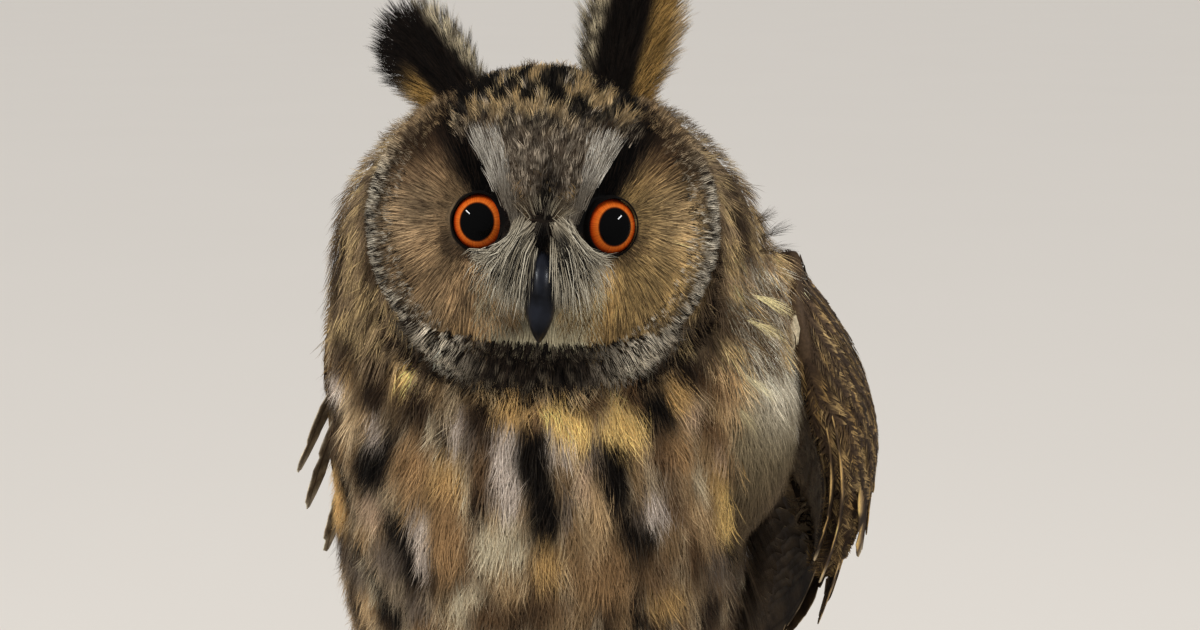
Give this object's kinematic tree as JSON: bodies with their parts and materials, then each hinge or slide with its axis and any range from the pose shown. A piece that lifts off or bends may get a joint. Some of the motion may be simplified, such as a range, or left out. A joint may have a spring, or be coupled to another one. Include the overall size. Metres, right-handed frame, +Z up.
{
  "type": "long-eared owl",
  "caption": "Life-size still long-eared owl standing on the floor, head to the front, ear tufts raised and its left wing hanging away from the flank.",
  "frame": {"origin": "on the floor, under the middle of the bounding box", "axes": "+Z is up, the owl faces -Y, and +X is its left"},
  "size_m": [0.18, 0.2968, 0.3172],
  "materials": {
    "face_feathers": "soft hair-like feathers, ochre disc with a speckled grey rim",
    "body_feathers": "soft feathers, buff and grey with dark brown streaks and fine bars",
    "flight_feathers": "firm barred feathers, brown and buff",
    "tuft_feathers": "black-brown feathers with ochre and white edges",
    "leg_feathers": "short buff feathers down to the claws",
    "horn": "smooth black horn with a soft shine",
    "eye": "wet orange iris round a black pupil"
  },
  "bodies": {
    "root": {"head": "face_feathers", "neck": "body_feathers", "torso": "body_feathers", "tail": "flight_feathers", "wing_left": "flight_feathers", "wing_right": "flight_feathers", "tuft_left": "tuft_feathers", "tuft_right": "tuft_feathers", "eye_left": "eye", "eye_right": "eye", "bill_upper": "horn", "bill_lower": "horn", "thigh_left": "leg_feathers", "thigh_right": "leg_feathers", "leg_left": "leg_feathers", "leg_right": "leg_feathers", "foot_left": "leg_feathers", "foot_right": "leg_feathers", "claw_left_inner": "horn", "claw_left_middle": "horn", "claw_left_outer": "horn", "claw_left_hind": "horn", "claw_right_inner": "horn", "claw_right_middle": "horn", "claw_right_outer": "horn", "claw_right_hind": "horn"}
  },
  "joints": []
}
